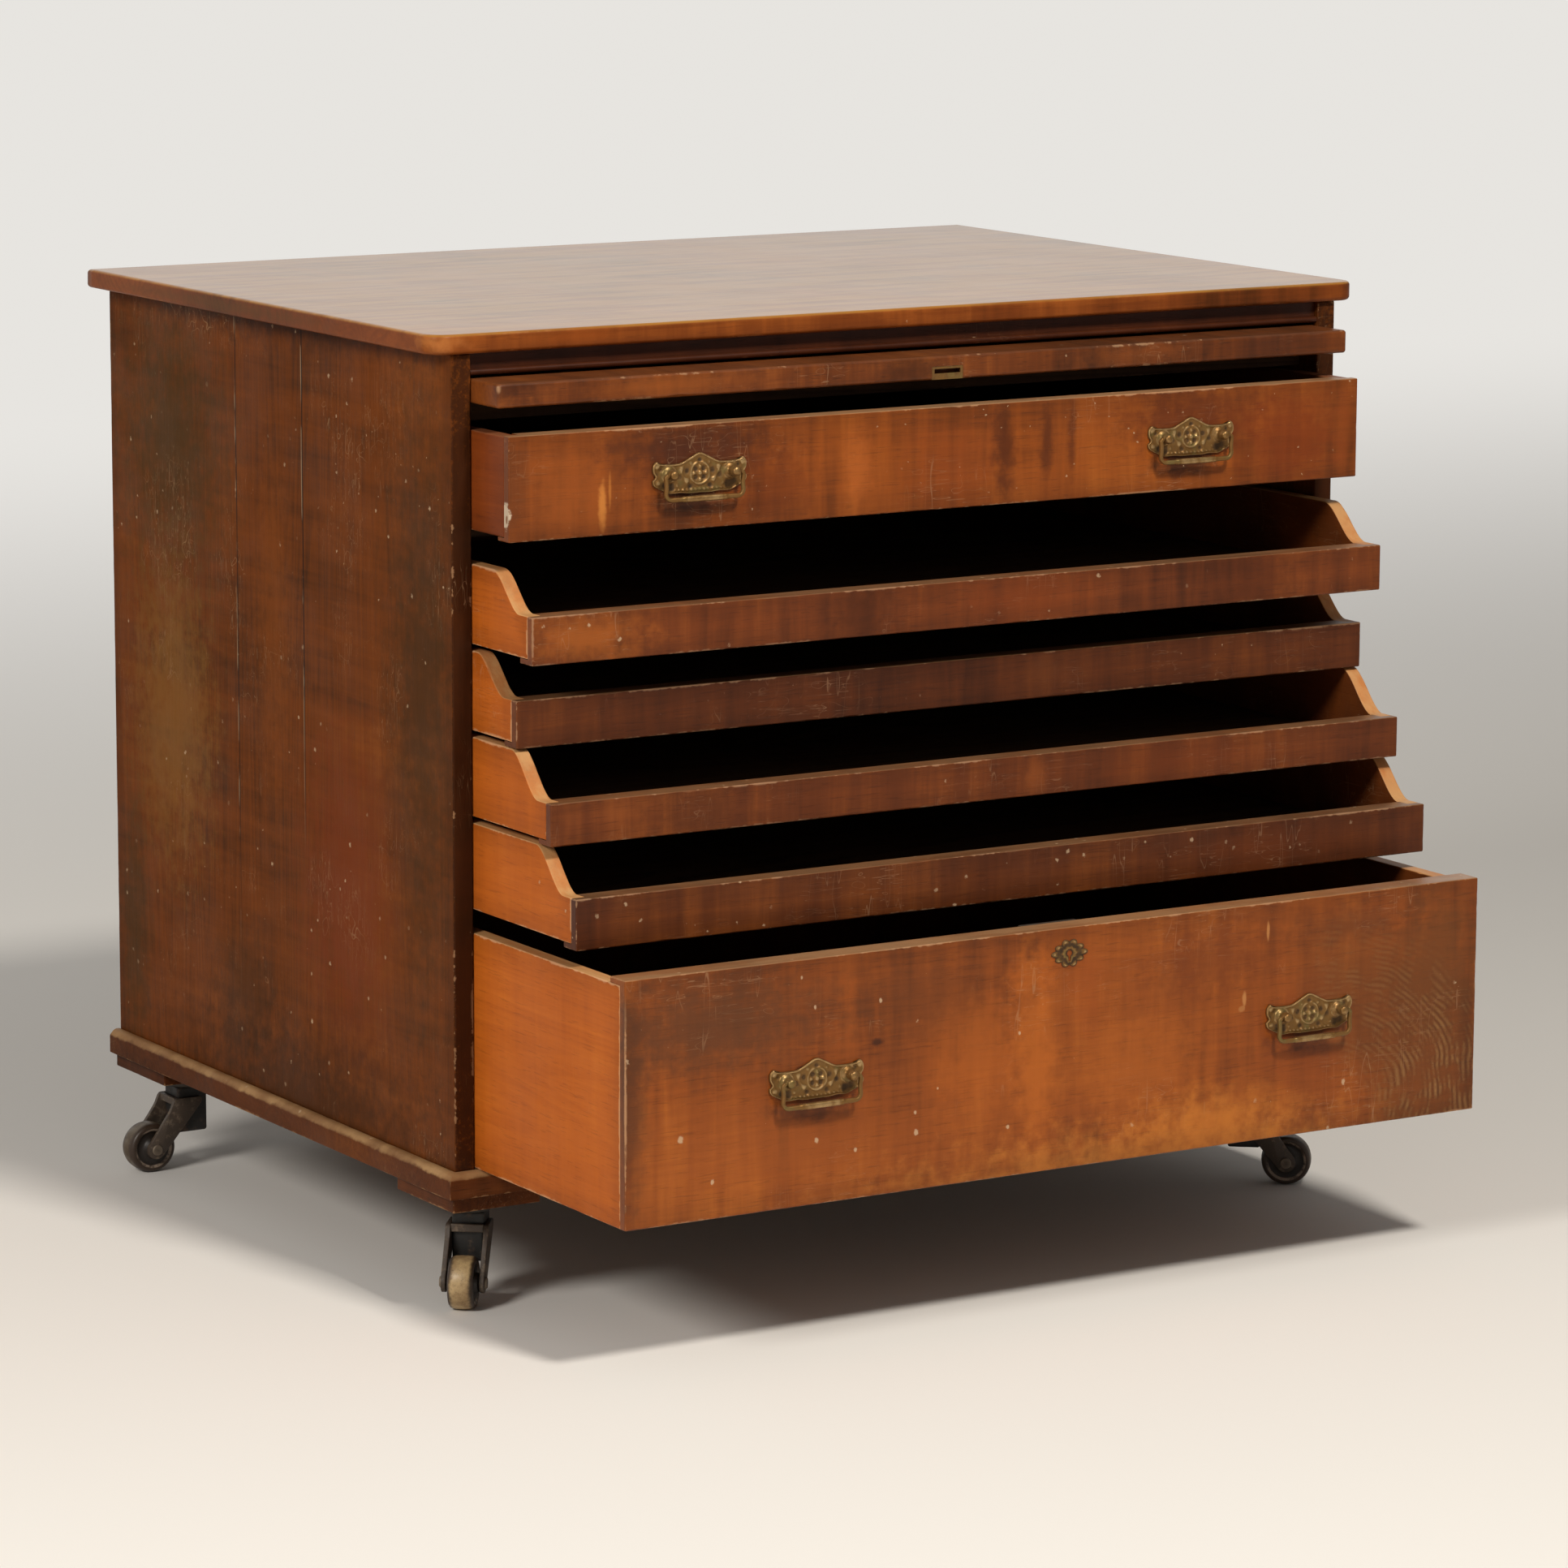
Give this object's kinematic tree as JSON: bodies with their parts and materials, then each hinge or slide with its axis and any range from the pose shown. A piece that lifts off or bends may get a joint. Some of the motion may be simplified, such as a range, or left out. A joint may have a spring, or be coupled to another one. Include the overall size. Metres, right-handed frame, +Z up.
{
  "type": "flat file cabinet",
  "caption": "Wooden plan chest on castors with a sliding fall flap, a shallow drawer, open-fronted paper trays and a deep drawer with drop handles.",
  "frame": {"origin": "on the floor, under the middle of the box that the cabinet fills with its flap, drawers and trays drawn out as at rest", "axes": "+X to the right along the front as one faces it, -Y out of the front, +Z up"},
  "size_m": [1.068, 1.0414, 0.9459],
  "materials": {
    "figured_mahogany": "polished, reddish brown, worn",
    "dark_mahogany": "dark brown varnish, scratched",
    "drawer_side_cedar": "orange-brown, lightly varnished",
    "pine": "unvarnished",
    "old_brass": "tarnished",
    "dark_steel": "dull black",
    "castor_tread": "matte, worn"
  },
  "bodies": {
    "carcase": {"top_board": "figured_mahogany", "left_side_panel": "dark_mahogany", "right_side_panel": "dark_mahogany", "back_panel": "pine", "bottom_board": "pine", "lower_dust_board": "pine", "upper_dust_board": "pine", "flap_shelf": "pine", "top_rail": "dark_mahogany", "base_moulding": "dark_mahogany", "tray_1_runner_frame": "pine", "tray_2_runner_frame": "pine", "tray_3_runner_frame": "pine", "front_left_corner_block": "dark_mahogany", "front_right_corner_block": "dark_mahogany", "rear_left_corner_block": "dark_mahogany", "rear_right_corner_block": "dark_mahogany", "front_left_castor_plate": "dark_steel", "front_right_castor_plate": "dark_steel", "rear_left_castor_plate": "dark_steel", "rear_right_castor_plate": "dark_steel"},
    "flap": {"flap_board": "figured_mahogany", "flap_lock": "old_brass", "flap_pivot_rod": "dark_steel"},
    "top_drawer": {"top_drawer_front": "figured_mahogany", "top_drawer_sides": "drawer_side_cedar", "top_drawer_bottom": "pine", "top_drawer_left_handle_plate": "old_brass", "top_drawer_right_handle_plate": "old_brass"},
    "tray_1": {"tray_1_front": "figured_mahogany", "tray_1_sides": "drawer_side_cedar", "tray_1_bottom": "pine"},
    "tray_2": {"tray_2_front": "figured_mahogany", "tray_2_sides": "drawer_side_cedar", "tray_2_bottom": "pine"},
    "tray_3": {"tray_3_front": "figured_mahogany", "tray_3_sides": "drawer_side_cedar", "tray_3_bottom": "pine"},
    "tray_4": {"tray_4_front": "figured_mahogany", "tray_4_sides": "drawer_side_cedar", "tray_4_bottom": "pine"},
    "bottom_drawer": {"bottom_drawer_front": "figured_mahogany", "bottom_drawer_sides": "drawer_side_cedar", "bottom_drawer_bottom": "pine", "bottom_drawer_left_handle_plate": "old_brass", "bottom_drawer_right_handle_plate": "old_brass", "bottom_drawer_escutcheon": "old_brass", "bottom_drawer_lock": "dark_steel"},
    "top_drawer_left_bail": {"top_drawer_left_bail": "old_brass"},
    "top_drawer_right_bail": {"top_drawer_right_bail": "old_brass"},
    "bottom_drawer_left_bail": {"bottom_drawer_left_bail": "old_brass"},
    "bottom_drawer_right_bail": {"bottom_drawer_right_bail": "old_brass"},
    "front_left_fork": {"front_left_fork": "dark_steel"},
    "front_left_wheel": {"front_left_wheel": "castor_tread"},
    "front_right_fork": {"front_right_fork": "dark_steel"},
    "front_right_wheel": {"front_right_wheel": "castor_tread"},
    "rear_left_fork": {"rear_left_fork": "dark_steel"},
    "rear_left_wheel": {"rear_left_wheel": "castor_tread"},
    "rear_right_fork": {"rear_right_fork": "dark_steel"},
    "rear_right_wheel": {"rear_right_wheel": "castor_tread"}
  },
  "joints": [
    {"name": "flap_slide", "type": "slide", "parent": "carcase", "child": "flap", "axis": [0, -1, 0], "range_m": [-0.051, 0.41]},
    {"name": "top_drawer_slide", "type": "slide", "parent": "carcase", "child": "top_drawer", "axis": [0, -1, 0], "range_m": [-0.117, 0.4]},
    {"name": "tray_1_slide", "type": "slide", "parent": "carcase", "child": "tray_1", "axis": [0, -1, 0], "range_m": [-0.161, 0.356]},
    {"name": "tray_2_slide", "type": "slide", "parent": "carcase", "child": "tray_2", "axis": [0, -1, 0], "range_m": [-0.13, 0.387]},
    {"name": "tray_3_slide", "type": "slide", "parent": "carcase", "child": "tray_3", "axis": [0, -1, 0], "range_m": [-0.195, 0.322]},
    {"name": "tray_4_slide", "type": "slide", "parent": "carcase", "child": "tray_4", "axis": [0, -1, 0], "range_m": [-0.242, 0.275]},
    {"name": "bottom_drawer_slide", "type": "slide", "parent": "carcase", "child": "bottom_drawer", "axis": [0, -1, 0], "range_m": [-0.286, 0.264]},
    {"name": "top_drawer_left_bail_swing", "type": "hinge", "parent": "top_drawer", "child": "top_drawer_left_bail", "pos_m": [-0.283, -0.30125, 0.81005], "axis": [-1, 0, 0], "range_deg": [0, 95]},
    {"name": "top_drawer_right_bail_swing", "type": "hinge", "parent": "top_drawer", "child": "top_drawer_right_bail", "pos_m": [0.283, -0.30125, 0.81005], "axis": [-1, 0, 0], "range_deg": [0, 95]},
    {"name": "bottom_drawer_left_bail_swing", "type": "hinge", "parent": "bottom_drawer", "child": "bottom_drawer_left_bail", "pos_m": [-0.283, -0.51625, 0.2663], "axis": [-1, 0, 0], "range_deg": [0, 95]},
    {"name": "bottom_drawer_right_bail_swing", "type": "hinge", "parent": "bottom_drawer", "child": "bottom_drawer_right_bail", "pos_m": [0.283, -0.51625, 0.2663], "axis": [-1, 0, 0], "range_deg": [0, 95]},
    {"name": "front_left_castor_swivel", "type": "hinge", "parent": "carcase", "child": "front_left_fork", "pos_m": [-0.46, -0.15725, 0.08], "axis": [0, 0, 1], "continuous": true},
    {"name": "front_left_wheel_spin", "type": "hinge", "parent": "front_left_fork", "child": "front_left_wheel", "pos_m": [-0.48709, -0.19192, 0.026], "axis": [0.788, -0.6157, 0], "continuous": true},
    {"name": "front_right_castor_swivel", "type": "hinge", "parent": "carcase", "child": "front_right_fork", "pos_m": [0.46, -0.15725, 0.08], "axis": [0, 0, 1], "continuous": true},
    {"name": "front_right_wheel_spin", "type": "hinge", "parent": "front_right_fork", "child": "front_right_wheel", "pos_m": [0.49467, -0.18434, 0.026], "axis": [0.6157, 0.788, 0], "continuous": true},
    {"name": "rear_left_castor_swivel", "type": "hinge", "parent": "carcase", "child": "rear_left_fork", "pos_m": [-0.46, 0.46875, 0.08], "axis": [0, 0, 1], "continuous": true},
    {"name": "rear_left_wheel_spin", "type": "hinge", "parent": "rear_left_fork", "child": "rear_left_wheel", "pos_m": [-0.504, 0.46875, 0.026], "axis": [0, -1, 0], "continuous": true},
    {"name": "rear_right_castor_swivel", "type": "hinge", "parent": "carcase", "child": "rear_right_fork", "pos_m": [0.46, 0.46875, 0.08], "axis": [0, 0, 1], "continuous": true},
    {"name": "rear_right_wheel_spin", "type": "hinge", "parent": "rear_right_fork", "child": "rear_right_wheel", "pos_m": [0.42189, 0.44675, 0.026], "axis": [0.5, -0.866, 0], "continuous": true}
  ]
}
